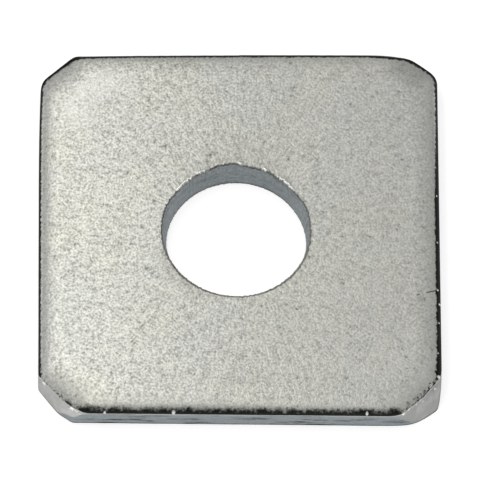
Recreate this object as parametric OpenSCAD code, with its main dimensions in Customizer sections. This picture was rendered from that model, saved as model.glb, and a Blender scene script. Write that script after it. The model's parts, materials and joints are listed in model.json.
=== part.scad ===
// Square plate washer, cut and punched from sheet steel.
// The hole is on the Z axis, the underside on Z 0, the face with rolled edges on top.

/* [Plate] */
// Length of each side of the square, wall to wall
side = 40; // [30:0.5:80]
// Thickness of the sheet
thickness = 3.2; // [2.5:0.1:6]

/* [Bolt hole] */
// Diameter of the bolt that passes through
bolt_d = 12; // [8:1:16]
// How much wider than the bolt the hole is
hole_clearance = 2; // [0.5:0.1:3]
// Radius of the rim that the punch rolled over on the underside
punch_roll = 0.35; // [0.1:0.05:0.5]
// Length of the straight wall above that rim
land = 1.1; // [0.5:0.1:1.5]
// How far the torn wall above the land stands back at the top face
breakout = 0.45; // [0.1:0.05:0.8]

/* [Rolled top edge] */
// How far the rolled edge reaches in over the face
roll_width = 1.4; // [1.3:0.05:2]
// How far the rolled edge drops below the face
roll_depth = 0.95; // [0.7:0.05:1]
// Radius at the outer end of the rolled edge, above the wall
rim_r = 0.55; // [0.4:0.05:0.6]

/* [Corners] */
// Length that each corner facet takes off a side, at the facet's upper rim
corner_cut = 3.7; // [3:0.1:5]
// Radius of the corners at the underside
foot_radius = 4; // [2.5:0.1:5]
// Height of the plain wall left below each facet
facet_foot = 0.25; // [0.1:0.05:0.5]
// How far the roll above a facet reaches in over the face
corner_roll_width = 2.2; // [1.5:0.1:3]
// How far the roll above a facet drops below the face
corner_roll_depth = 0.7; // [0.3:0.05:1]

/* [Hidden] */
$fn = 96;
over = 1;
half_side = side / 2;
hole_r = (bolt_d + hole_clearance) / 2;
breakout_h = thickness - punch_roll - land;
breakout_over = breakout * (1 + over / breakout_h);

// The roll is a flat arc that leaves the face and a tighter one that meets the wall at a slight crease
crease = 10;
rim_x = -rim_r * cos(crease);
rim_z = -roll_depth - rim_r * sin(crease);
arc_fit = 0.98;
touching_r = (pow(roll_width + rim_x, 2) + pow(rim_z, 2) - pow(rim_r, 2)) / (-2 * (rim_z + rim_r));
face_r = arc_fit * touching_r;
join_angle = atan2(roll_width + rim_x, face_r + rim_z);
corner_r = (pow(corner_roll_width, 2) + pow(corner_roll_depth, 2)) / (2 * corner_roll_depth);

// Distances from the axis along a diagonal, and the heights they belong to
foot_reach = half_side * sqrt(2) - foot_radius * (sqrt(2) - 1);
facet_reach = half_side * sqrt(2) - corner_cut / sqrt(2);
facet_top = thickness - corner_roll_depth;
facet_lean = atan2(foot_reach - facet_reach, facet_top - facet_foot);

module quarter_turns()
    for (q = [0 : 3]) rotate(90 * q) children();

module foot_outline() {
    difference() {
        square(side, center = true);
        quarter_turns()
            translate([half_side - foot_radius, half_side - foot_radius])
                difference() {
                    square(foot_radius + over);
                    circle(r = foot_radius);
                }
    }
}

// What a roll takes off a section: X runs outward from the edge, Y up from the face
module face_arc_section(width, depth, radius) {
    difference() {
        translate([-width, -depth - over / 2]) square([width + over / 2, depth + over]);
        translate([-width, -radius]) circle(r = radius);
    }
}

module rim_arc_section() {
    translate([rim_x, rim_z])
        difference() {
            polygon([
                [0, 0],
                [roll_width + over, 0],
                [roll_width + over, roll_width + over],
                (roll_width + over) * [sin(join_angle), cos(join_angle)]
            ]);
            circle(r = rim_r);
        }
}

module along_edge(reach)
    translate([reach, 0, thickness]) rotate([90, 0, 0]) linear_extrude(side * 2, center = true) children();

module corner_facet()
    translate([facet_reach, 0, facet_top])
        rotate([0, -facet_lean, 0])
            translate([0, -side / 2, -side / 2]) cube(side);

// Half section of the hole: rolled lower rim, straight land, torn cone to the top
module hole_section() {
    difference() {
        polygon([
            [0, -over],
            [hole_r + punch_roll, -over],
            [hole_r + punch_roll, punch_roll],
            [hole_r, punch_roll],
            [hole_r, thickness - breakout_h],
            [hole_r + breakout_over, thickness + over],
            [0, thickness + over]
        ]);
        translate([hole_r + punch_roll, punch_roll]) circle(r = punch_roll);
    }
}

module plate_washer() {
    color("#b9bab2")
        difference() {
            linear_extrude(thickness) foot_outline();
            quarter_turns() along_edge(half_side) face_arc_section(roll_width, roll_depth, face_r);
            quarter_turns() along_edge(half_side) rim_arc_section();
            rotate(45) quarter_turns() corner_facet();
            rotate(45) quarter_turns() along_edge(facet_reach)
                face_arc_section(corner_roll_width, corner_roll_depth, corner_r);
            rotate_extrude() hole_section();
        }
}

plate_washer();
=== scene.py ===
"""Dress the square plate washer: a sheared and punched plate with matte zinc plating, on a pale floor."""

import json
import math
from types import SimpleNamespace

import bpy
from bpy.props import FloatProperty, FloatVectorProperty, PointerProperty
from mathutils import Matrix, Vector


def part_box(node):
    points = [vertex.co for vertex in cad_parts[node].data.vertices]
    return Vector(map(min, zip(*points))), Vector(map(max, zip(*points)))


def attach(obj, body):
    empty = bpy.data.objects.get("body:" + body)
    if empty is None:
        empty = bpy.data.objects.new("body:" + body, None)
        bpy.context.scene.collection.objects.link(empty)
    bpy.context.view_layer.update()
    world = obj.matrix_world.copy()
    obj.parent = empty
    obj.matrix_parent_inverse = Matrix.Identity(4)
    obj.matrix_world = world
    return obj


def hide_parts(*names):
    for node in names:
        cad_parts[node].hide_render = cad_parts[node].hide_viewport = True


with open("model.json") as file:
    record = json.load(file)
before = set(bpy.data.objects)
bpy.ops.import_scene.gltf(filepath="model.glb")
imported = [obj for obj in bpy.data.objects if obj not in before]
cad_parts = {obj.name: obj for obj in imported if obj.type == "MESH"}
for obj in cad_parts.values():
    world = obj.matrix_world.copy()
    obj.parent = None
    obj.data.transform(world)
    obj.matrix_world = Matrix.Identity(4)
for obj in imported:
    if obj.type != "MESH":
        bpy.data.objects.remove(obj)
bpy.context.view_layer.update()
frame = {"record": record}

bl_info = {
    "name": "Square plate washer",
    "version": (1, 0, 0),
    "blender": (4, 5, 0),
    "location": "View3D > Sidebar > Washer",
    "description": "Builds a square plate washer with sheared edges and zinc plating, and its stage",
    "category": "Object",
}

NODE = "plate_washer"
BODY = "root"
PIECE = "washer_plate"
MM = 0.001
LOW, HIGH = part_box(NODE)
SIDE = HIGH.x - LOW.x
THICKNESS = HIGH.z - LOW.z
BORE = next(m for m in frame["record"]["mounts"] if m["name"] == "bolt_hole")
HOLE_RADIUS = BORE["dims"]["r_mm"] * MM
LAND = BORE["dims"]["length_mm"] * MM

CORNERS = ("front_left", "front_right", "back_left", "back_right")
QUARTER = math.pi / 2
EIGHTH = math.pi / 4
ROOT_TWO = math.sqrt(2)
# Noise swings about this level
NOISE_MIDDLE = 0.5
WHITE = (1.0, 1.0, 1.0, 1.0)
# Sockets of a Mix node: its share and two ends for numbers and for colours, and its mixed colour
MIX_NUMBERS = (0, 2, 3)
MIX_COLOURS = (0, 6, 7)
MIXED_COLOUR = 2
# What most lengths share in the panel
LENGTH = {"unit": "LENGTH", "precision": 5}

# Stretches of the section, from the underside out, up the wall, over the face and down the hole
STRETCHES = (
    ("under", 10),
    ("foot", 2),
    ("wall", 22),
    ("roll", 24),
    ("face", 44),
    ("lip", 5),
    ("torn", 12),
    ("land", 7),
    ("punch", 6),
)
STEPS_ALONG = sum(count for name, count in STRETCHES)
STEPS_AROUND = 704
# How strongly the grid crowds towards the corners, the rim and the hole
CORNER_CROWDING = 0.4
RIM_CROWDING = 1.8
HOLE_CROWDING = 1.6
# Bevel at the wall's lower edge, and the distance at which points are joined
BREAK_WIDTH = 0.06 * MM
WELD = 0.001 * MM
# Share of the wall's height over which it gives way to the roll
WALL_END = (0.95, 1.0)
# How squarely a direction points at a side before the side counts as reached
ON_SIDE = (0.66, 0.74)

# Zones that the plate's shape marks and its finish is mixed by
ZONES = (
    "wall", "crest", "rolled", "dark_start", "front", "corner", "facet", "worn", "bore", "speckle", "lip",
    "rim_dull", "burr", "low_rim",
)
# Where the punch left a burr at the top of the hole, with a painted glint in its colour: middle and spread
# of each, in degrees
BURRS = ((46.0, 11.0), (86.0, 2.5), (117.0, 7.0), (134.0, 12.0), (66.0, 3.0))
BURR_HEIGHT = 0.04 * MM
# Painted shade beside the hole: middle and spread in degrees, reach in millimetres, and strength
SHADE_ARCS = ((225.0, 42.0, 2.0, 0.16), (92.0, 52.0, 4.0, 0.09))
# Bright chips in the painted dark rolled edge: place across and along the plate, and reach, in millimetres
CHIPS = (
    (19.7, 4.1, 0.09),
    (19.7, -1.1, 0.11),
    (19.65, -6.4, 0.13),
    (19.85, -7.9, 0.13),
    (19.75, -10.0, 0.09),
    (19.6, -13.4, 0.1),
    (19.65, -15.9, 0.2),
    (-13.4, -19.95, 0.15),
    (-6.6, -19.9, 0.2),
    (12.5, -19.95, 0.16),
)
# A broken scratch near the right edge: its start, its turn, its length and its gap
SCRATCH_START = (17.5 * MM, -7.2 * MM)
SCRATCH_TURN = math.radians(18.0)
SCRATCH_LENGTH = 2.4 * MM
SCRATCH_GAP = (0.4 * MM, 1.0 * MM)
SCRATCH_FADE = 0.1 * MM

# The strip light above the left part, the floor, and the camera's sensor in millimetres
SOFTBOX_SPOT = (-0.0247, 0.038, 0.11)
SOFTBOX_TURN = math.radians(4.0)
SOFTBOX_WIDTH = 0.03
SOFTBOX_LENGTH = 0.15
SOFTBOX_COLOUR = (1.0, 0.985, 0.905)
FLOOR_REACH = 1.5
FLOOR_GAP = 0.005 * MM
SENSOR_WIDTH = 36.0


class Wire:
    """A node's output that arithmetic can be written with."""

    def __init__(self, graph, socket):
        self.graph = graph
        self.socket = socket

    def __add__(self, other):
        return self.graph.math("ADD", self, other)

    def __radd__(self, other):
        return self.graph.math("ADD", other, self)

    def __sub__(self, other):
        return self.graph.math("SUBTRACT", self, other)

    def __rsub__(self, other):
        return self.graph.math("SUBTRACT", other, self)

    def __mul__(self, other):
        return self.graph.math("MULTIPLY", self, other)

    def __rmul__(self, other):
        return self.graph.math("MULTIPLY", other, self)

    def __truediv__(self, other):
        return self.graph.math("DIVIDE", self, other)

    def __rtruediv__(self, other):
        return self.graph.math("DIVIDE", other, self)

    def __mod__(self, other):
        return self.graph.math("FLOORED_MODULO", self, other)

    def __pow__(self, other):
        return self.graph.math("POWER", self, other)

    def __abs__(self):
        return self.graph.math("ABSOLUTE", self)


class Graph:
    """A node tree that is written as expressions."""

    def __init__(self, tree):
        self.tree = tree
        tree.nodes.clear()

    def node(self, kind, settings=None, inputs=None, output=0):
        """Add one node, set it up, then fill its sockets with values or links."""
        made = self.tree.nodes.new(kind)
        for name, value in (settings or {}).items():
            setattr(made, name, value)
        for key, value in (inputs or {}).items():
            if isinstance(value, Wire):
                self.tree.links.new(value.socket, made.inputs[key])
            else:
                made.inputs[key].default_value = value
        return Wire(self, made.outputs[output]) if len(made.outputs) else made

    def math(self, operation, *values):
        return self.node("ShaderNodeMath", {"operation": operation}, dict(enumerate(values)))

    def soft_low(self, a, b, reach):
        """The lower of two values, rounded over where they meet."""
        return self.math("SMOOTH_MIN", a, b, reach)

    def sin(self, a):
        return self.math("SINE", a)

    def cos(self, a):
        return self.math("COSINE", a)

    def sign(self, a):
        return self.math("SIGN", a)

    def step(self, a, start, end):
        """Rise smoothly from 0 to 1 as a goes from start to end."""
        names = {"Value": a, "From Min": start, "From Max": end, "To Min": 0.0, "To Max": 1.0}
        return self.node("ShaderNodeMapRange", {"interpolation_type": "SMOOTHSTEP"}, names)

    def blend(self, share, a, b):
        """Go from a to b as share goes from 0 to 1."""
        ends = dict(zip(MIX_NUMBERS, (share, a, b)))
        return self.node("ShaderNodeMix", {"data_type": "FLOAT"}, ends)

    def colour(self, share, a, b, mode="MIX"):
        """Go from colour a to colour b as share goes from 0 to 1."""
        settings = {"data_type": "RGBA", "blend_type": mode}
        ends = dict(zip(MIX_COLOURS, (share, a, b)))
        return self.node("ShaderNodeMix", settings, ends, MIXED_COLOUR)

    def vector(self, x, y, z):
        return self.node("ShaderNodeCombineXYZ", None, {0: x, 1: y, 2: z})

    def split(self, place):
        """The three coordinates of a place."""
        sockets = self.node("ShaderNodeSeparateXYZ", None, {0: place}).socket.node.outputs
        return [Wire(self, socket) for socket in sockets]

    def stretch(self, place, factors):
        return self.node("ShaderNodeVectorMath", {"operation": "MULTIPLY"}, {0: place, 1: factors})

    def distance(self, a, b):
        return self.node("ShaderNodeVectorMath", {"operation": "DISTANCE"}, {0: a, 1: b}, "Value")

    def noise(self, place, scale, detail, roughness):
        names = {"Vector": place, "Scale": scale, "Detail": detail, "Roughness": roughness}
        return self.node("ShaderNodeTexNoise", None, names)


def degrees(*values):
    return [math.radians(value) for value in values]


def rgba(colour):
    return (colour[0], colour[1], colour[2], 1.0)


class WasherSizes(bpy.types.PropertyGroup):
    """Sizes of the plate, as the shears and the punch left it."""

    side: FloatProperty(name="Side", description="Nominal length of each side", default=SIDE, **LENGTH)
    width: FloatProperty(
        name="Width", description="Length across, as cut", default=SIDE - 0.08 * MM, **LENGTH
    )
    left_length: FloatProperty(
        name="Left length", description="Length of the left side, as cut", default=SIDE - 0.13 * MM,
        **LENGTH
    )
    right_length: FloatProperty(
        name="Right length", description="Length of the right side, as cut", default=SIDE + 0.27 * MM,
        **LENGTH
    )
    thickness: FloatProperty(
        name="Thickness", description="Thickness of the sheet", default=THICKNESS, **LENGTH
    )
    hole_radius: FloatProperty(
        name="Hole radius", description="Radius of the straight land", default=HOLE_RADIUS, **LENGTH
    )
    land: FloatProperty(
        name="Land", description="Length of the straight wall in the hole", default=LAND, **LENGTH
    )
    breakout: FloatProperty(
        name="Breakout", description="How far the torn wall stands back at the top", default=0.38 * MM,
        **LENGTH
    )
    tear_back: FloatProperty(
        name="Tear at the back", description="How much narrower the torn wall is at the back",
        default=0.33 * MM, **LENGTH
    )
    punch_roll: FloatProperty(
        name="Punch roll", description="Radius of the hole's rolled lower rim", default=0.12 * MM, **LENGTH
    )
    lip: FloatProperty(
        name="Lip", description="Radius of the worn rim at the top of the hole", default=0.12 * MM, **LENGTH
    )
    hole_right_top: FloatProperty(
        name="Hole right, top", description="How far the hole's top sits to the right of the middle",
        default=-0.33 * MM, **LENGTH
    )
    hole_right_low: FloatProperty(
        name="Hole right, low", description="How far the hole's lower rim sits to the right of the middle",
        default=-0.25 * MM, **LENGTH
    )
    hole_back_top: FloatProperty(
        name="Hole back, top", description="How far the hole's top sits behind the middle",
        default=0.03 * MM, **LENGTH
    )
    hole_back_low: FloatProperty(
        name="Hole back, low", description="How far the hole's lower rim sits behind the middle",
        default=-0.3 * MM, **LENGTH
    )
    roll_width: FloatProperty(
        name="Roll width", description="How far the rolled edge reaches in along a side", default=2.6 * MM,
        **LENGTH
    )
    roll_depth: FloatProperty(
        name="Roll depth", description="How far the rolled edge drops along a side", default=0.92 * MM,
        **LENGTH
    )
    roll_slow: FloatProperty(
        name="Slow fall", description="Part of the drop along a side that is gentle", default=0.35 * MM,
        **LENGTH
    )
    corner_roll_width: FloatProperty(
        name="Corner roll width", description="How far the roll reaches in above a facet", default=3.4 * MM,
        **LENGTH
    )
    corner_roll_depth: FloatProperty(
        name="Corner roll depth", description="How far the roll drops above a facet", default=0.7 * MM,
        **LENGTH
    )
    corner_roll_slow: FloatVectorProperty(
        name="Corner slow fall", description="Part of the drop above each facet that is gentle", size=4,
        default=(0.56 * MM, 0.14 * MM, 0.56 * MM, 0.5 * MM), **LENGTH
    )
    rim_cut: FloatVectorProperty(
        name="Rim cut", description="Length that each facet takes off a side at its rim", size=4,
        default=(3.83 * MM, 4.08 * MM, 3.69 * MM, 3.4 * MM), **LENGTH
    )
    rim_turn: FloatVectorProperty(
        name="Rim turn", description="Turn of each facet at its rim", size=4, unit="ROTATION",
        default=degrees(-4.0, 6.5, -3.5, 9.85)
    )
    rounding: FloatVectorProperty(
        name="Rounding", description="Reach of the rounding where each facet meets a side", size=4,
        default=(0.3 * MM, 0.9 * MM, 1.0 * MM, 1.05 * MM), **LENGTH
    )
    shoulder_cut: FloatVectorProperty(
        name="Shoulder cut", description="Length that a second cut takes off at the rim", size=4,
        default=(5.22 * MM, 3.98 * MM, 11.1 * MM, 6.67 * MM), **LENGTH
    )
    shoulder_turn: FloatVectorProperty(
        name="Shoulder turn", description="Turn of the second cut at the rim", size=4, unit="ROTATION",
        default=degrees(20.1, -7.0, -43.0, 28.7)
    )
    heel_cut: FloatVectorProperty(
        name="Heel cut", description="Length that each corner loses at the underside", size=4,
        default=(3.4 * MM, 2.6 * MM, 2.46 * MM, 2.34 * MM), **LENGTH
    )
    heel_turn: FloatVectorProperty(
        name="Heel turn", description="Turn of each corner's cut at the underside", size=4, unit="ROTATION",
        default=degrees(-8.1, -9.0, 0.0, 0.0)
    )
    heel_rounding: FloatVectorProperty(
        name="Heel rounding", description="Reach of the rounding where each heel meets a side", size=4,
        default=(0.3 * MM, 2.0 * MM, 1.0 * MM, 1.0 * MM), **LENGTH
    )
    toe_cut: FloatVectorProperty(
        name="Toe cut", description="Length that a second cut takes off at the underside", size=4,
        default=(3.4 * MM, 8.33 * MM, 11.165 * MM, 3.0 * MM), **LENGTH
    )
    toe_turn: FloatVectorProperty(
        name="Toe turn", description="Turn of the second cut at the underside", size=4, unit="ROTATION",
        default=degrees(10.55, 35.6, 43.0, -17.0)
    )


class WasherFinish(bpy.types.PropertyGroup):
    """Colours of the plating and of the sheared steel, and of painted glints and painted shade."""

    face: FloatVectorProperty(
        name="Face", description="Zinc plating on the face", subtype="COLOR", default=(0.735, 0.74, 0.705)
    )
    face_warm: FloatVectorProperty(
        name="Warm blotches", description="Yellowish plating", subtype="COLOR", default=(0.76, 0.755, 0.65)
    )
    face_cool: FloatVectorProperty(
        name="Cool blotches", description="Bluish plating", subtype="COLOR", default=(0.70, 0.72, 0.70)
    )
    wall: FloatVectorProperty(
        name="Wall", description="Sheared wall under the plating", subtype="COLOR",
        default=(0.26, 0.297, 0.32)
    )
    facet: FloatVectorProperty(
        name="Facet", description="Burnished corner facets", subtype="COLOR", default=(0.45, 0.45, 0.435)
    )
    facet_right: FloatVectorProperty(
        name="Right facet", description="Burnished facet on the right", subtype="COLOR",
        default=(0.35, 0.353, 0.34)
    )
    bore: FloatVectorProperty(
        name="Bore", description="Punched wall of the hole", subtype="COLOR", default=(0.32, 0.351, 0.368)
    )
    # A painted glint colour, on the burrs, along the facet crests and inside two corners
    glint: FloatVectorProperty(
        name="Burr", description="Bright burr at the hole", subtype="COLOR", default=(0.95, 0.95, 0.93)
    )
    # Dark steel for pits, scratches and torn streaks, and the colour of the painted dark edge and of
    # painted shade in the hole
    dark: FloatVectorProperty(
        name="Dark edge", description="Bare steel along the rolled edge", subtype="COLOR",
        default=(0.02, 0.022, 0.02)
    )


class WasherStage(bpy.types.PropertyGroup):
    """Camera and light."""

    elevation: FloatProperty(
        name="Elevation", description="Height of the camera above the floor", subtype="ANGLE",
        default=math.radians(63.352)
    )
    lean: FloatProperty(
        name="Lean", description="Sideways lean of the view", subtype="ANGLE", default=math.radians(1.545)
    )
    roll: FloatProperty(
        name="Roll", description="Turn of the view about its axis", subtype="ANGLE",
        default=math.radians(0.373)
    )
    distance: FloatProperty(
        name="Distance", description="Distance of the camera from the washer", default=1.0908, unit="LENGTH"
    )
    lens: FloatProperty(name="Lens", description="Focal length", default=820.4, unit="CAMERA")
    aim_right: FloatProperty(
        name="Aim right", description="Offset of the view's centre to the right", default=0.13 * MM,
        **LENGTH
    )
    aim_up: FloatProperty(
        name="Aim up", description="Offset of the view's centre upward", default=0.374 * MM, **LENGTH
    )
    key_level: FloatProperty(
        name="Key level", description="Brightness of the left softbox", default=1.48
    )
    sky_level: FloatProperty(name="Sky level", description="Brightness overhead", default=0.5)
    horizon_level: FloatProperty(
        name="Horizon level", description="Brightness near the horizon", default=0.34
    )
    floor: FloatVectorProperty(
        name="Floor", description="Colour of the floor", subtype="COLOR", default=(0.86, 0.86, 0.86)
    )
    floor_glow: FloatProperty(
        name="Floor glow", description="Light from below the floor", default=0.65
    )


def single_sizes(sizes):
    """Every size by name, with a size that differs from corner to corner split in four."""
    single = {}
    for name in WasherSizes.__annotations__:
        value = getattr(sizes, name)
        if isinstance(value, float):
            single[name] = value
        else:
            single.update({f"{name}_{corner}": part for corner, part in zip(CORNERS, value)})
    return single


class Around:
    """Directions round the plate, and the slow changes that the shears and the punch left along them."""

    def __init__(self, g, size, angle):
        self.g = g
        self.size = size
        self.angle = angle
        self.cosine = g.cos(angle)
        self.sine = g.sin(angle)
        self.on_right = (g.sign(self.cosine) + 1) / 2
        self.on_back = (g.sign(self.sine) + 1) / 2
        self.on_left = 1 - self.on_right
        self.on_front = 1 - self.on_back
        self.off_corner = angle % QUARTER - EIGHTH
        self.to_side = 1 / g.cos(EIGHTH - abs(self.off_corner))
        self.to_cut = 1 / g.cos(self.off_corner)
        ring = g.vector(self.cosine, self.sine, 0.0)
        self.uneven = g.noise(ring, scale=30.0, detail=3.0, roughness=0.6) - NOISE_MIDDLE
        self.ragged = g.noise(ring, scale=22.0, detail=4.0, roughness=0.7) - NOISE_MIDDLE

    def by_corner(self, name):
        """A size that differs from corner to corner."""
        values = [getattr(self.size, f"{name}_{corner}") for corner in CORNERS]
        front = self.g.blend(self.on_right, values[0], values[1])
        rear = self.g.blend(self.on_right, values[2], values[3])
        return self.g.blend(self.on_back, front, rear)

    def reach(self, name):
        """Distance from the axis to a corner's cut, along the diagonal."""
        return self.size.side / 2 * ROOT_TWO - self.by_corner(f"{name}_cut") / ROOT_TWO

    def cut_line(self, name, reach):
        """Distance from the axis to a corner's turned cut, in each direction."""
        return reach / self.g.cos(self.off_corner - self.by_corner(f"{name}_turn"))

    def side(self, toward):
        """1 on the side that faces this way and 0 on the others, with a soft change at the corners."""
        return self.g.step(toward, *ON_SIDE)

    def about(self, middle, core, spread, wander=0.0):
        """1 about a direction, fading from its core to nothing at its spread, both in degrees."""
        away = abs(self.angle - math.radians(middle)) + wander
        return 1 - self.g.step(away, math.radians(core), math.radians(spread))


def read_grid(g):
    """A grid, the direction of its points round the plate and their share of each stretch."""
    grid = g.node(
        "GeometryNodeMeshGrid", None,
        {"Size X": 1.0, "Size Y": 1.0, "Vertices X": STEPS_AROUND + 1, "Vertices Y": STEPS_ALONG + 1},
    )
    half_grid = 0.5
    across, along, _ = g.split(g.node("GeometryNodeInputPosition"))
    turn = (across + half_grid) * (2 * math.pi)
    steps = (along + half_grid) * STEPS_ALONG
    corners = len(CORNERS)
    angle = turn + CORNER_CROWDING / corners * g.sin(turn * corners)
    share = {}
    start = 0
    for name, count in STRETCHES:
        ends = {"Value": steps, "From Min": float(start), "From Max": float(start + count)}
        share[name] = g.node("ShaderNodeMapRange", {"clamp": True}, ends)
        start += count
    return grid, angle, SimpleNamespace(**share)


def cut_edge(around, share):
    """How far the sheared edge reaches at each height, where its facets are, and where the face ends."""
    g, size = around.g, around.size
    shoulder_blend = 0.5 * MM
    toe_blend = 0.3 * MM
    face_blend = 3.5 * MM
    rim_wander = 0.35 * MM
    drop_wander = 0.10 * MM
    foot_proud = 0.05 * MM
    corner_fade = (-0.4 * MM, 0.9 * MM)
    heel_sharper = 0.6
    heel_fade = (-0.02, 0.05)
    facet_from_left = -0.07 * MM
    facet_from_right = -0.28 * MM
    facet_fade = 0.05 * MM

    # At its rim a facet is one straight cut with a rounder shoulder
    to_wall = size.side / 2 * around.to_side
    rim_reach = around.reach("rim")
    rim_line = around.cut_line("rim", rim_reach)
    shoulder_line = around.cut_line("shoulder", around.reach("shoulder"))
    facet_rim = g.soft_low(rim_line, shoulder_line, shoulder_blend)
    facet_rim = facet_rim + around.ragged * around.on_front * rim_wander
    past_cut = to_wall - rim_line
    near_corner = g.step(past_cut, *corner_fade)

    depth = g.blend(near_corner, size.roll_depth, size.corner_roll_depth) + around.uneven * drop_wander
    rim_height = size.thickness - depth
    wall_height = BREAK_WIDTH + share.wall * (rim_height - BREAK_WIDTH)

    # At the underside a corner has a heel and a toe, and the front right heel is sharper on one side
    heel_reach = around.reach("heel")
    one_side = g.step(around.off_corner, *heel_fade)
    sharper = 1 - heel_sharper * around.on_right * around.on_front * one_side
    heel_rounding = around.by_corner("heel_rounding") * sharper
    foot = g.soft_low(to_wall, around.cut_line("heel", heel_reach), heel_rounding)
    foot = g.soft_low(foot, around.cut_line("toe", around.reach("toe")), toe_blend)
    facet_foot = around.cut_line("heel", heel_reach + foot_proud)
    cut = g.blend(wall_height / rim_height, facet_foot, facet_rim)
    facet_from = g.blend(around.on_right, facet_from_left, facet_from_right)

    side_face = (size.side / 2 - size.roll_width) * around.to_side
    corner_face = (rim_reach - size.corner_roll_width) * around.to_cut
    return SimpleNamespace(
        past_cut=past_cut,
        near_corner=near_corner,
        depth=depth,
        rim_height=rim_height,
        wall=g.soft_low(foot, cut, around.by_corner("rounding")),
        facet=g.step(foot - cut, facet_from, facet_from + facet_fade),
        flat=g.soft_low(side_face, corner_face, face_blend),
        rolled=1 - share.roll ** RIM_CROWDING,
    )


def roll_drop(around, edge):
    """How far the roll lies below the face: slowly at first and then steeply at the rim."""
    g, size = around.g, around.size
    slow_power = 2
    steep_power = 9
    tighter_share = 0.5
    tighter_across = (-0.1, 0.5)
    tighter_front = (0.6, 0.8)
    tighter = g.step(around.cosine, *tighter_across) * g.step(0 - around.sine, *tighter_front)
    side_slow = size.roll_slow * (1 - tighter_share * tighter)
    slow = g.blend(edge.near_corner, side_slow, around.by_corner("corner_roll_slow"))
    return slow * edge.rolled ** slow_power + (edge.depth - slow) * edge.rolled ** steep_power


def punch_hole(around, share):
    """The hole's land, its torn top and how ragged they are."""
    g, size = around.g, around.size
    land_wander = 0.2 * MM
    top_wander = 0.6 * MM
    front_wander = 0.25 * MM
    front_fade = (0.0, 0.4)
    back_fade = (0.25, 0.66)
    nick_middle, nick_core, nick_spread = 97.0, 5.0, 16.0
    nick_share = 0.6
    tear_power = 5

    radius = size.hole_radius + around.uneven * land_wander
    nick = around.about(nick_middle, nick_core, nick_spread)
    narrower = g.step(around.sine, *back_fade) * (1 - nick_share * nick)
    in_front = g.step(0 - around.sine, *front_fade)
    ragged_top = around.ragged * g.blend(in_front, top_wander, front_wander)
    return SimpleNamespace(
        radius=radius,
        in_front=in_front,
        top=radius + size.breakout - size.tear_back * narrower + ragged_top,
        torn_wander=ragged_top * ((1 - share.torn) ** tear_power - 1 + share.torn),
    )


def run_section(around, share, edge, hole):
    """Distance from the axis, and height, of each point along the section."""
    g, size = around.g, around.size
    lip_turn = share.lip * QUARTER
    punch_turn = share.punch * QUARTER
    land_top = size.punch_roll + size.land
    inner = hole.radius + size.punch_roll

    radius = inner + share.under * (edge.wall - BREAK_WIDTH - inner) + share.foot * BREAK_WIDTH
    radius = radius + (edge.wall - edge.flat) * (edge.rolled - 1)
    radius = radius + (1 - (1 - share.face) ** HOLE_CROWDING) * (hole.top + size.lip - edge.flat)
    radius = radius - size.lip * g.sin(lip_turn)
    radius = radius + share.torn * (hole.radius - hole.top) + hole.torn_wander
    radius = radius + size.punch_roll * (1 - g.cos(punch_turn))

    height = share.foot * BREAK_WIDTH + share.wall * (edge.rim_height - BREAK_WIDTH)
    height = height + edge.depth - roll_drop(around, edge)
    height = height - size.lip * (1 - g.cos(lip_turn))
    height = height - share.torn * (size.thickness - size.lip - land_top)
    height = height - share.land * size.land
    height = height - size.punch_roll * g.sin(punch_turn)
    return radius, height


def start_of_dark(around, edge, front_side):
    """Share of the roll at which the painted dark edge starts, which differs round the plate."""
    g = around.g
    usual = 0.84
    side_change = 0.045
    back_sooner = 0.085
    right_back_later = 0.08
    back_fade = (0.1, 0.6)
    front_wander = 0.25
    taper_later = 0.12
    taper_right = 0.02
    corner_later = 0.02
    corner_back = 0.07
    taper_from_front = -0.7 * MM
    taper_from_left = -0.2 * MM
    taper_from_right = 0.15 * MM
    taper_reach = 1.0 * MM
    taper_reach_right = 0.35 * MM

    left_side = around.side(0 - around.cosine)
    right_side = around.side(around.cosine)
    back_side = around.side(around.sine)
    left_cut = edge.near_corner * around.on_left
    dark = usual + side_change * left_side - side_change * right_side
    dark = dark - back_sooner * back_side * (1 - left_cut)
    dark = dark + right_back_later * right_side * g.step(around.sine, *back_fade)
    dark = dark + front_wander * front_side * around.uneven

    # The band tapers off at the front facets, and narrows at the back right one
    taper_from = g.blend(left_side, taper_from_front, taper_from_left)
    taper_from = g.blend(right_side, taper_from, taper_from_right)
    taper_to = taper_from + g.blend(right_side, taper_reach, taper_reach_right)
    taper = g.step(edge.past_cut, taper_from, taper_to) * around.on_front
    dark = dark + taper * (taper_later + taper_right * around.on_right)
    at_back_right = edge.near_corner * around.on_back * around.on_right
    return dark + at_back_right * (corner_later + corner_back * back_side)


def edge_zones(around, share, edge):
    """The wall with its crest and facets, the roll with its painted dark edge, and painted shade on the
    roll at the corners.
    """
    g = around.g
    crest_fade = (0.78, 0.92)
    speckle_left = 0.4
    speckle_right = 0.22
    front_shade = 0.8
    back_right_shade = 1.3
    back_left_fade = (-1.6 * MM, 0.4 * MM)

    above_wall = g.step(share.wall, *WALL_END)
    on_wall = g.step(share.foot, 0.0, 1.0) * (1 - above_wall)
    front_side = around.side(0 - around.sine)
    # Painted shade on the roll at three corners and at the front left
    back_left = g.step(edge.past_cut, *back_left_fade)
    back_shaded = g.blend(around.on_right, back_left, back_right_shade * edge.near_corner)
    front_shaded = front_shade * edge.near_corner * around.on_left
    speckle = g.blend(around.on_right, speckle_left, speckle_right)
    return {
        "wall": on_wall,
        "crest": on_wall * g.step(share.wall, *crest_fade),
        "rolled": above_wall * edge.rolled,
        "dark_start": start_of_dark(around, edge, front_side),
        "front": front_side,
        "corner": g.blend(around.on_back, front_shaded, back_shaded),
        "facet": edge.facet,
        "speckle": edge.near_corner * around.on_front * speckle,
    }


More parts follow.
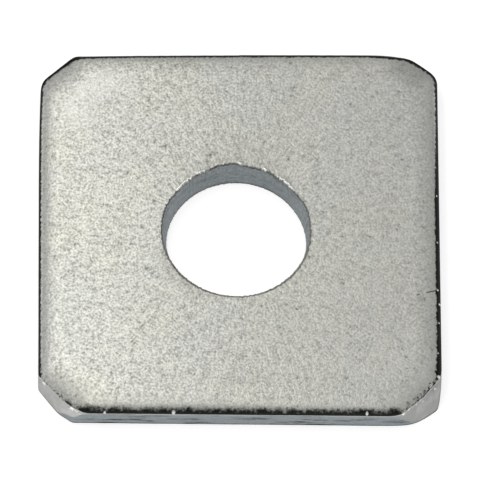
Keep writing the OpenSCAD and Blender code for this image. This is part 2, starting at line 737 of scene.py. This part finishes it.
def corner_highlights(around, share, edge, face_width):
    """Painted highlight just inside two opposite corners."""
    g = around.g
    face_fade = (0.8 * MM, 4.2 * MM)
    roll_fade = (0.0, 1.4 * MM)
    corner_fade = (-3.5 * MM, -0.5 * MM)
    front_right = 0.4
    from_flat = (1 - (1 - share.face) ** HOLE_CROWDING) * face_width
    on_face = 1 - g.step(from_flat, *face_fade)
    on_roll = 1 - g.step((edge.wall - edge.flat) * edge.rolled, *roll_fade)
    highlight_here = around.on_back * around.on_left + front_right * around.on_front * around.on_right
    worn = on_face * on_roll * g.step(edge.past_cut, *corner_fade) * highlight_here
    return worn * g.step(share.wall, *WALL_END)


def hole_zones(around, share, edge, hole):
    """The punched wall with its rims and burrs, and the painted highlight and painted shade on the face."""
    g, size = around.g, around.size
    bore_fade = (0.6, 1.0)
    low_rim_fade = (0.8, 1.0)
    lip_from = 0.93
    lip_to = 0.99
    lip_from_front = 0.04
    lip_to_front = 0.035
    torn_fade = (0.0, 0.12)
    ridge_crest = 0.14 * MM
    ridge_end = 0.34 * MM
    ridge_start = 0.4
    ridge_lip = (0.4, 1.0)
    burr_core = 0.4
    burr_wander = 0.1
    shade_core = 0.45
    shade_start = 0.1

    face_width = edge.flat - hole.top - size.lip
    from_lip = (1 - share.face) ** HOLE_CROWDING * face_width
    lip_start = lip_from - lip_from_front * hole.in_front
    lip_end = lip_to - lip_to_front * hole.in_front
    near_lip = g.step(share.face, lip_start, lip_end)
    near_lip = near_lip * (1 - g.step(share.torn, *torn_fade))
    rise = ridge_start + (1 - ridge_start) * g.step(from_lip, 0.0, ridge_crest)
    ridge = (1 - g.step(from_lip, ridge_crest, ridge_end)) * rise
    ridge = ridge * share.roll * (1 - g.step(share.lip, *ridge_lip))
    burr = 0.0
    for middle, spread in BURRS:
        burr = burr + around.about(middle, spread * burr_core, spread, around.ragged * burr_wander)
    # Painted shade on the face beside the hole
    painted_shade = 0.0
    for middle, spread, reach, strength in SHADE_ARCS:
        fade = g.step(from_lip, reach * shade_start * MM, reach * MM)
        painted_shade = painted_shade + around.about(middle, spread * shade_core, spread) * (1 - fade) * strength
    return {
        "bore": g.step(share.lip, *bore_fade),
        "lip": near_lip,
        "burr": burr * ridge,
        "low_rim": g.step(share.land, *low_rim_fade),
        "rim_dull": painted_shade,
        "worn": corner_highlights(around, share, edge, face_width),
    }


def place_points(around, share, section, zones):
    """Where each point ends up, with streaks and burrs, the hole off the middle and the sides as cut."""
    g, size = around.g, around.size
    radius, height = section
    streak_stretch = (250.0, 250.0, 2200.0)
    wall_streaks = 0.05 * MM
    bore_streaks = 0.06 * MM
    middle = 0.5

    spot = g.vector(radius * around.cosine, radius * around.sine, height)
    streaks = g.noise(g.stretch(spot, streak_stretch), scale=1.0, detail=3.0, roughness=0.6) - NOISE_MIDDLE
    torn = zones["wall"] * streaks * wall_streaks + zones["bore"] * streaks * bore_streaks
    radius = radius + torn * (1 - zones["facet"])

    inside = g.step(share.face, 0.0, 1.0) + 1 - g.step(share.under, 0.0, 1.0)
    up_share = height / size.thickness
    shift_right = g.blend(up_share, size.hole_right_low, size.hole_right_top) * inside
    shift_back = g.blend(up_share, size.hole_back_low, size.hole_back_top) * inside
    across = radius * around.cosine + shift_right
    along = radius * around.sine + shift_back
    length = g.blend(across / size.side + middle, size.left_length, size.right_length)
    lifted = height + zones["burr"] * BURR_HEIGHT
    return g.vector(across * size.width / size.side, along * length / size.side, lifted)


def plate_tree(sizes, material):
    """A tree that bends a grid into the plate: one way runs around, the other along the section."""
    tree = bpy.data.node_groups.new("washer_plate_shape", "GeometryNodeTree")
    tree.interface.new_socket(name="Geometry", in_out="OUTPUT", socket_type="NodeSocketGeometry")
    sockets = {}
    for name, value in sizes.items():
        socket = tree.interface.new_socket(name=name, in_out="INPUT", socket_type="NodeSocketFloat")
        socket.default_value = value
        sockets[name] = socket
    g = Graph(tree)
    group = tree.nodes.new("NodeGroupInput")
    size = SimpleNamespace(**{name: Wire(g, group.outputs[name]) for name in sizes})

    shape, angle, share = read_grid(g)
    around = Around(g, size, angle)
    edge = cut_edge(around, share)
    hole = punch_hole(around, share)
    section = run_section(around, share, edge, hole)
    zones = edge_zones(around, share, edge) | hole_zones(around, share, edge, hole)
    for name in ZONES:
        settings = {"data_type": "FLOAT", "domain": "POINT"}
        names = {"Geometry": shape, "Name": name, "Value": zones[name]}
        shape = g.node("GeometryNodeStoreNamedAttribute", settings, names)
    spot = place_points(around, share, section, zones)

    shape = g.node("GeometryNodeSetPosition", None, {"Geometry": shape, "Position": spot})
    shape = g.node("GeometryNodeMergeByDistance", None, {"Geometry": shape, "Distance": WELD})
    shape = g.node("GeometryNodeSetShadeSmooth", None, {"Geometry": shape, "Shade Smooth": True})
    shape = g.node("GeometryNodeRealizeInstances", None, {"Geometry": shape})
    shape = g.node("GeometryNodeSetMaterial", None, {"Geometry": shape, "Material": material})
    end = tree.nodes.new("NodeGroupOutput")
    tree.links.new(shape.socket, end.inputs[0])
    return tree, sockets


class Plating:
    """Matte zinc on the face, sheared steel on the walls, and bare steel with a painted dark reflection
    along the rolled edge.
    """

    def __init__(self, finish):
        self.material = bpy.data.materials.new("zinc_plating")
        self.material.use_nodes = True
        g = Graph(self.material.node_tree)
        self.g = g
        tints = {name: rgba(getattr(finish, name)) for name in WasherFinish.__annotations__}
        self.tint = SimpleNamespace(**tints)
        self.zone = SimpleNamespace(**{name: self.read_zone(name) for name in ZONES})
        self.place = g.node("ShaderNodeTexCoord", output="Object")
        self.across, self.along, self.up = g.split(self.place)
        half_width = 0.018
        self.to_right = g.step(self.across, -half_width, half_width)
        self.grain = g.noise(self.place, scale=4300.0, detail=2.0, roughness=0.6)
        self.coarse = g.noise(self.place, scale=2100.0, detail=2.0, roughness=0.6)
        self.cloud = g.noise(self.place, scale=420.0, detail=2.0, roughness=0.5)
        self.mottle = g.noise(self.place, scale=3000.0, detail=3.0, roughness=0.6)
        mottle_fade = (0.3, 0.7)
        self.mottled = g.step(self.mottle, *mottle_fade)
        self.flaking = g.noise(self.place, scale=3000.0, detail=3.0, roughness=0.75) - NOISE_MIDDLE
        streak_stretch = (260.0, 260.0, 2600.0)
        torn_fade = (0.5, 0.64)
        streak = g.noise(g.stretch(self.place, streak_stretch), scale=1.0, detail=4.0, roughness=0.7)
        self.torn = g.step(streak, *torn_fade)

    def read_zone(self, name):
        """A zone that the plate's shape has marked."""
        settings = {"attribute_name": name, "attribute_type": "GEOMETRY"}
        return self.g.node("ShaderNodeAttribute", settings, output="Fac")

    def face_shade(self):
        """Grain, with painted light making it deeper on the left, and painted shade on the roll, across the
        middle and beside the hole's rim.
        """
        g, zone = self.g, self.zone
        grain_fade = (0.28, 0.74)
        coarse_fade = (0.42, 0.78)
        grain_share = 0.64
        coarse_share = 0.36
        usual_hollow = 0.366
        depth_left = 1.04
        depth_right = 0.62
        smoother_roll = 0.45
        smoother_fade = (0.3, 0.8)
        roll_shade_fade = (0.1, 0.55)
        corner_shade = 0.12
        front_shade = 0.08
        middle_shade = 0.045
        middle_start = (-14.0 * MM, -6.0 * MM)
        middle_end = (1.0 * MM, 9.0 * MM)

        # Painted light: the grain's shade is deeper on the left, where the light falls
        depth = g.blend(self.to_right, depth_left, depth_right)
        depth = depth * (1 - smoother_roll * g.step(zone.rolled, *smoother_fade))
        hollow = g.step(self.grain, *grain_fade) * grain_share
        hollow = hollow + g.step(self.coarse, *coarse_fade) * coarse_share
        shade = 1 - (hollow - usual_hollow) * depth
        # Painted shade on the roll at the corners and at the front
        painted_shade = corner_shade * zone.corner + (front_shade - front_shade * self.to_right) * zone.front
        shade = shade * (1 - g.step(zone.rolled, *roll_shade_fade) * painted_shade)
        # Painted shade across the middle of the face
        middle = g.step(self.across, *middle_start) * (1 - g.step(self.across, *middle_end))
        return shade * (1 - zone.rim_dull) * (1 - middle_shade * middle)

    def face(self):
        """Zinc with warm and cool blotches, grain, a painted highlight inside two corners and a few pits.
        """
        g, tint = self.g, self.tint
        blotch_fade = (0.35, 0.65)
        evenness = 0.75
        highlight_strength = 0.36
        pit_fade = (0.68, 0.76)
        pit_dark = 0.4

        blotch = g.noise(self.place, scale=160.0, detail=3.0, roughness=0.6)
        colour = g.colour(g.step(blotch, *blotch_fade), tint.face_cool, tint.face_warm)
        colour = g.colour(evenness, colour, tint.face)
        shade = self.face_shade()
        grey = g.node("ShaderNodeCombineColor", None, {0: shade, 1: shade, 2: shade})
        colour = g.colour(1.0, colour, grey, "MULTIPLY")
        # Painted highlight inside the back left and front right corners
        colour = g.colour(self.zone.worn * highlight_strength, colour, tint.glint)
        return g.colour(g.step(self.coarse, *pit_fade) * pit_dark, colour, tint.dark)

    def facets(self):
        """Burnished steel, darker towards the right, with painted glints along the crest."""
        g, tint = self.g, self.tint
        mottle_fade = (0.35, 0.7)
        mottle_share = 0.3
        cloud_fade = (0.5, 0.7)
        cloud_share = 0.25
        crest_glint_fade = (0.54, 0.62)

        colour = g.colour(self.to_right, tint.facet, tint.facet_right)
        colour = g.colour(g.step(self.mottle, *mottle_fade) * mottle_share, colour, tint.wall)
        colour = g.colour(g.step(self.cloud, *cloud_fade) * cloud_share, colour, tint.face)
        crest_glints = g.noise(self.place, scale=1300.0, detail=2.0, roughness=0.6)
        # Painted glints along the facets' crest
        return g.colour(self.zone.crest * g.step(crest_glints, *crest_glint_fade), colour, tint.glint)

    def walls(self):
        """Sheared steel with torn streaks, a paler crest, the facets and a dark line at the foot."""
        g, tint, zone = self.g, self.tint, self.zone
        mottle_share = 0.35
        torn_dark = 0.9
        crest_pale = 0.5
        foot_fade = (0.1 * MM, 0.35 * MM)
        foot_dark = 0.65

        colour = g.colour(self.mottled * mottle_share, tint.wall, tint.facet)
        colour = g.colour(self.torn * torn_dark, colour, tint.dark)
        colour = g.colour(zone.crest * crest_pale, colour, tint.facet)
        colour = g.colour(zone.facet, colour, self.facets())
        foot_line = 1 - g.step(self.up, *foot_fade)
        return g.colour(foot_line * foot_dark, colour, tint.dark)

    def bore(self):
        """The punched wall of the hole, with painted shade at the back and darker along its lower rim."""
        g, tint = self.g, self.tint
        mottle_dark = 0.3
        torn_dark = 0.25
        back_fade = (3.0 * MM, 6.5 * MM)
        back_shade = 0.17
        rim_dark = 0.8

        colour = g.colour(self.mottled * mottle_dark, tint.bore, tint.dark)
        colour = g.colour(self.torn * torn_dark, colour, tint.dark)
        # Painted shade on the back of the bore
        colour = g.colour(g.step(self.along, *back_fade) * back_shade, colour, tint.dark)
        return g.colour(self.zone.low_rim * rim_dark, colour, tint.dark)

    def dark_edge(self):
        """Where the roll is painted dark, bare steel with a painted dark reflection, with a flaking border.
        """
        zone = self.zone
        flake = 0.18
        flake_front = 0.1
        sooner = 0.01
        sooner_front = 0.08
        later = 0.05
        later_front = 0.05

        place = zone.rolled + self.flaking * (flake + flake_front * zone.front + zone.speckle)
        start = zone.dark_start - sooner - sooner_front * zone.front
        end = zone.dark_start + later + later_front * zone.front
        return self.g.step(place, start, end)

    def chips(self):
        """Where the dark edge has bright chips."""
        g = self.g
        core = 0.6
        wander = 0.1 * MM
        plan = g.stretch(self.place, (1.0, 1.0, 0.0))
        chip = 0.0
        for right, back, reach in CHIPS:
            away = g.distance(plan, (right * MM, back * MM, 0.0)) + self.flaking * wander
            chip = chip + (1 - g.step(away, core * reach * MM, reach * MM))
        return chip

    def scratch(self):
        """Where the broken scratch crosses the face and the roll."""
        g = self.g
        width_fade = (0.04 * MM, 0.09 * MM)
        cosine, sine = math.cos(SCRATCH_TURN), math.sin(SCRATCH_TURN)
        right = self.across - SCRATCH_START[0]
        back = self.along - SCRATCH_START[1]
        along = right * cosine + back * sine
        aside = abs(back * cosine - right * sine)
        gap_start, gap_end = SCRATCH_GAP
        gap = g.step(along, gap_start - SCRATCH_FADE, gap_start)
        gap = gap * (1 - g.step(along, gap_end, gap_end + SCRATCH_FADE))
        line = g.step(along, 0.0, SCRATCH_FADE)
        line = line * (1 - g.step(along, SCRATCH_LENGTH - SCRATCH_FADE, SCRATCH_LENGTH))
        line = line * (1 - gap) * (1 - g.step(aside, *width_fade))
        return line * (1 - self.zone.bore) * (1 - self.zone.wall)

    def colour(self):
        """All the finishes, with their painted light and shade, each in its zone."""
        g, tint, zone = self.g, self.tint, self.zone
        scratch_dark = 0.8
        lip_flake = 0.8
        lip_fade = (0.75, 0.95)
        lip_shade = 0.68

        edge = self.dark_edge()
        # Painted dark reflection along the steep rolled edge
        colour = g.colour(edge, self.face(), tint.dark)
        colour = g.colour(self.scratch() * scratch_dark, colour, tint.dark)
        colour = g.colour(edge * self.chips(), colour, tint.face)
        colour = g.colour(zone.wall, colour, self.walls())
        colour = g.colour(zone.bore, colour, self.bore())
        # Painted dark reflection on the rounded lip at the top of the hole
        lip = g.step(zone.lip + self.flaking * lip_flake, *lip_fade)
        colour = g.colour(lip * lip_shade, colour, tint.dark)
        # Painted glint on the burrs at the top of the hole
        return g.colour(zone.burr, colour, tint.glint)

    def roughness(self):
        """Matte on the face and in the cuts, and smoother on the burrs."""
        g, zone = self.g, self.zone
        face_rough = 0.34
        cloud_rough = 0.10
        wall_rough = 0.38
        bore_rough = 0.42
        burr_rough = 0.2

        rough = face_rough + cloud_rough * self.cloud
        rough = g.blend(zone.wall, rough, wall_rough)
        rough = g.blend(zone.bore, rough, bore_rough)
        return g.blend(zone.burr, rough, burr_rough)

    def grain_bump(self):
        """Fine hollows in the plating, with none on the burrs."""
        fine_share = 0.6
        coarse_share = 0.4
        relief = (0 - self.grain * fine_share - self.coarse * coarse_share) * (1 - self.zone.burr)
        names = {"Strength": 0.8, "Distance": 0.06 * MM, "Height": relief}
        return self.g.node("ShaderNodeBump", None, names)

    def make(self):
        """Join colour, roughness and grain in one metal."""
        surface = self.g.node("ShaderNodeBsdfPrincipled", None, {
            "Base Color": self.colour(),
            "Roughness": self.roughness(),
            "Metallic": 1.0,
            "Normal": self.grain_bump(),
            "Specular Tint": (0.6, 0.6, 0.6, 1.0),
        })
        self.g.node("ShaderNodeOutputMaterial", None, {"Surface": surface})
        return self.material


class MakePlate(bpy.types.Operator):
    """Build the washer's plate with its finish"""

    bl_idname = "washer.make_plate"
    bl_label = "Make plate"

    def execute(self, context):
        sizes = single_sizes(context.scene.washer_sizes)
        material = Plating(context.scene.washer_finish).make()
        tree, sockets = plate_tree(sizes, material)
        maker = bpy.data.objects.new("plate_maker", bpy.data.meshes.new("plate_maker"))
        context.scene.collection.objects.link(maker)
        modifier = maker.modifiers.new("plate", "NODES")
        modifier.node_group = tree
        for name, socket in sockets.items():
            modifier[socket.identifier] = sizes[name]
        graph = context.evaluated_depsgraph_get()
        mesh = bpy.data.meshes.new_from_object(maker.evaluated_get(graph))
        maker.modifiers.remove(modifier)
        bpy.data.objects.remove(maker)
        if not len(mesh.polygons):
            raise RuntimeError("the plate came out empty")
        mesh.name = PIECE
        piece = bpy.data.objects.new(PIECE, mesh)
        context.scene.collection.objects.link(piece)
        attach(piece, BODY)
        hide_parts(NODE)
        return {"FINISHED"}


def add_camera(scene, stage):
    """Stand the camera so that the view matches the photograph's angle."""
    sine, cosine = math.sin(stage.elevation), math.cos(stage.elevation)
    lean_sine, lean_cosine = math.sin(stage.lean), math.cos(stage.lean)
    right = Vector((lean_cosine, 0.0, lean_sine))
    up = Vector((-cosine * lean_sine, sine, cosine * lean_cosine))
    near = Vector((-sine * lean_sine, -cosine, sine * lean_cosine))
    turn_cosine, turn_sine = math.cos(stage.roll), math.sin(stage.roll)
    across = turn_cosine * right - turn_sine * up
    upward = turn_sine * right + turn_cosine * up
    data = bpy.data.cameras.new("camera")
    data.lens = stage.lens
    data.sensor_width = SENSOR_WIDTH
    camera = bpy.data.objects.new("camera", data)
    spot = near * stage.distance + across * stage.aim_right + upward * stage.aim_up
    turn = Matrix((across, upward, near)).transposed().to_4x4()
    camera.matrix_world = Matrix.Translation(spot) @ turn
    scene.collection.objects.link(camera)
    scene.camera = camera


def add_softbox(scene, stage):
    """A strip light that faces straight down."""
    data = bpy.data.lights.new("left_softbox", "AREA")
    data.shape = "RECTANGLE"
    data.size = SOFTBOX_WIDTH
    data.size_y = SOFTBOX_LENGTH
    data.energy = stage.key_level * math.pi * SOFTBOX_WIDTH * SOFTBOX_LENGTH
    data.color = SOFTBOX_COLOUR
    lamp = bpy.data.objects.new("left_softbox", data)
    lamp.location = SOFTBOX_SPOT
    lamp.rotation_euler.z = SOFTBOX_TURN
    scene.collection.objects.link(lamp)


def add_world(scene, stage):
    """A plain sky that is brightest overhead, and a little brighter on the left and in front."""
    world = bpy.data.worlds.new("studio")
    world.use_nodes = True
    scene.world = world
    overhead = (0.0, 0.75)
    left_brighter = 0.22
    front_brighter = 0.09
    g = Graph(world.node_tree)
    across, along, up = g.split(g.node("ShaderNodeTexCoord", output="Generated"))
    level = g.blend(g.step(up, *overhead), stage.horizon_level, stage.sky_level)
    level = level * (1 - left_brighter * across) * (1 - front_brighter * along)
    sky = g.node("ShaderNodeBackground", None, {"Color": WHITE, "Strength": level})
    g.node("ShaderNodeOutputWorld", None, {"Surface": sky})


def add_floor(scene, stage):
    """A wide pale floor, a little lit from below."""
    mesh = bpy.data.meshes.new("floor")
    ways = ((-1, -1), (1, -1), (1, 1), (-1, 1))
    corners = [(right * FLOOR_REACH, back * FLOOR_REACH, 0.0) for right, back in ways]
    mesh.from_pydata(corners, [], [(0, 1, 2, 3)])
    floor = bpy.data.objects.new("floor", mesh)
    floor.location.z = -FLOOR_GAP
    material = bpy.data.materials.new("pale_floor")
    material.use_nodes = True
    g = Graph(material.node_tree)
    paper = g.node("ShaderNodeBsdfDiffuse", None, {"Color": rgba(stage.floor)})
    glow = g.node("ShaderNodeEmission", None, {"Color": WHITE, "Strength": stage.floor_glow})
    both = g.node("ShaderNodeAddShader", None, {0: paper, 1: glow})
    rays = g.node("ShaderNodeLightPath").socket.node.outputs
    seen = Wire(g, rays["Is Camera Ray"]) + Wire(g, rays["Is Glossy Ray"])
    seen = seen + Wire(g, rays["Is Transmission Ray"])
    paper = g.node("ShaderNodeMixShader", None, {0: seen, 1: paper, 2: both})
    g.node("ShaderNodeOutputMaterial", None, {"Surface": paper})
    mesh.materials.append(material)
    scene.collection.objects.link(floor)


class SetStage(bpy.types.Operator):
    """Set up the camera, the floor and the light"""

    bl_idname = "washer.set_stage"
    bl_label = "Set stage"

    def execute(self, context):
        scene = context.scene
        stage = scene.washer_stage
        scene.view_settings.view_transform = "Standard"
        add_camera(scene, stage)
        add_floor(scene, stage)
        add_world(scene, stage)
        add_softbox(scene, stage)
        return {"FINISHED"}


class WasherPanel(bpy.types.Panel):
    """Sizes, finish and stage of the washer"""

    bl_idname = "VIEW3D_PT_washer"
    bl_label = "Square plate washer"
    bl_space_type = "VIEW_3D"
    bl_region_type = "UI"
    bl_category = "Washer"

    def draw(self, context):
        for kind, group in (
            (WasherSizes, context.scene.washer_sizes),
            (WasherFinish, context.scene.washer_finish),
            (WasherStage, context.scene.washer_stage),
        ):
            for name in kind.__annotations__:
                self.layout.prop(group, name)
        self.layout.operator(SetStage.bl_idname)
        self.layout.operator(MakePlate.bl_idname)


CLASSES = (WasherSizes, WasherFinish, WasherStage, MakePlate, SetStage, WasherPanel)


def register():
    for kind in CLASSES:
        bpy.utils.register_class(kind)
    bpy.types.Scene.washer_sizes = PointerProperty(type=WasherSizes)
    bpy.types.Scene.washer_finish = PointerProperty(type=WasherFinish)
    bpy.types.Scene.washer_stage = PointerProperty(type=WasherStage)


def unregister():
    del bpy.types.Scene.washer_stage
    del bpy.types.Scene.washer_finish
    del bpy.types.Scene.washer_sizes
    for kind in reversed(CLASSES):
        bpy.utils.unregister_class(kind)


def main():
    register()
    bpy.ops.washer.set_stage()
    bpy.ops.washer.make_plate()


if __name__ == "__main__":
    main()
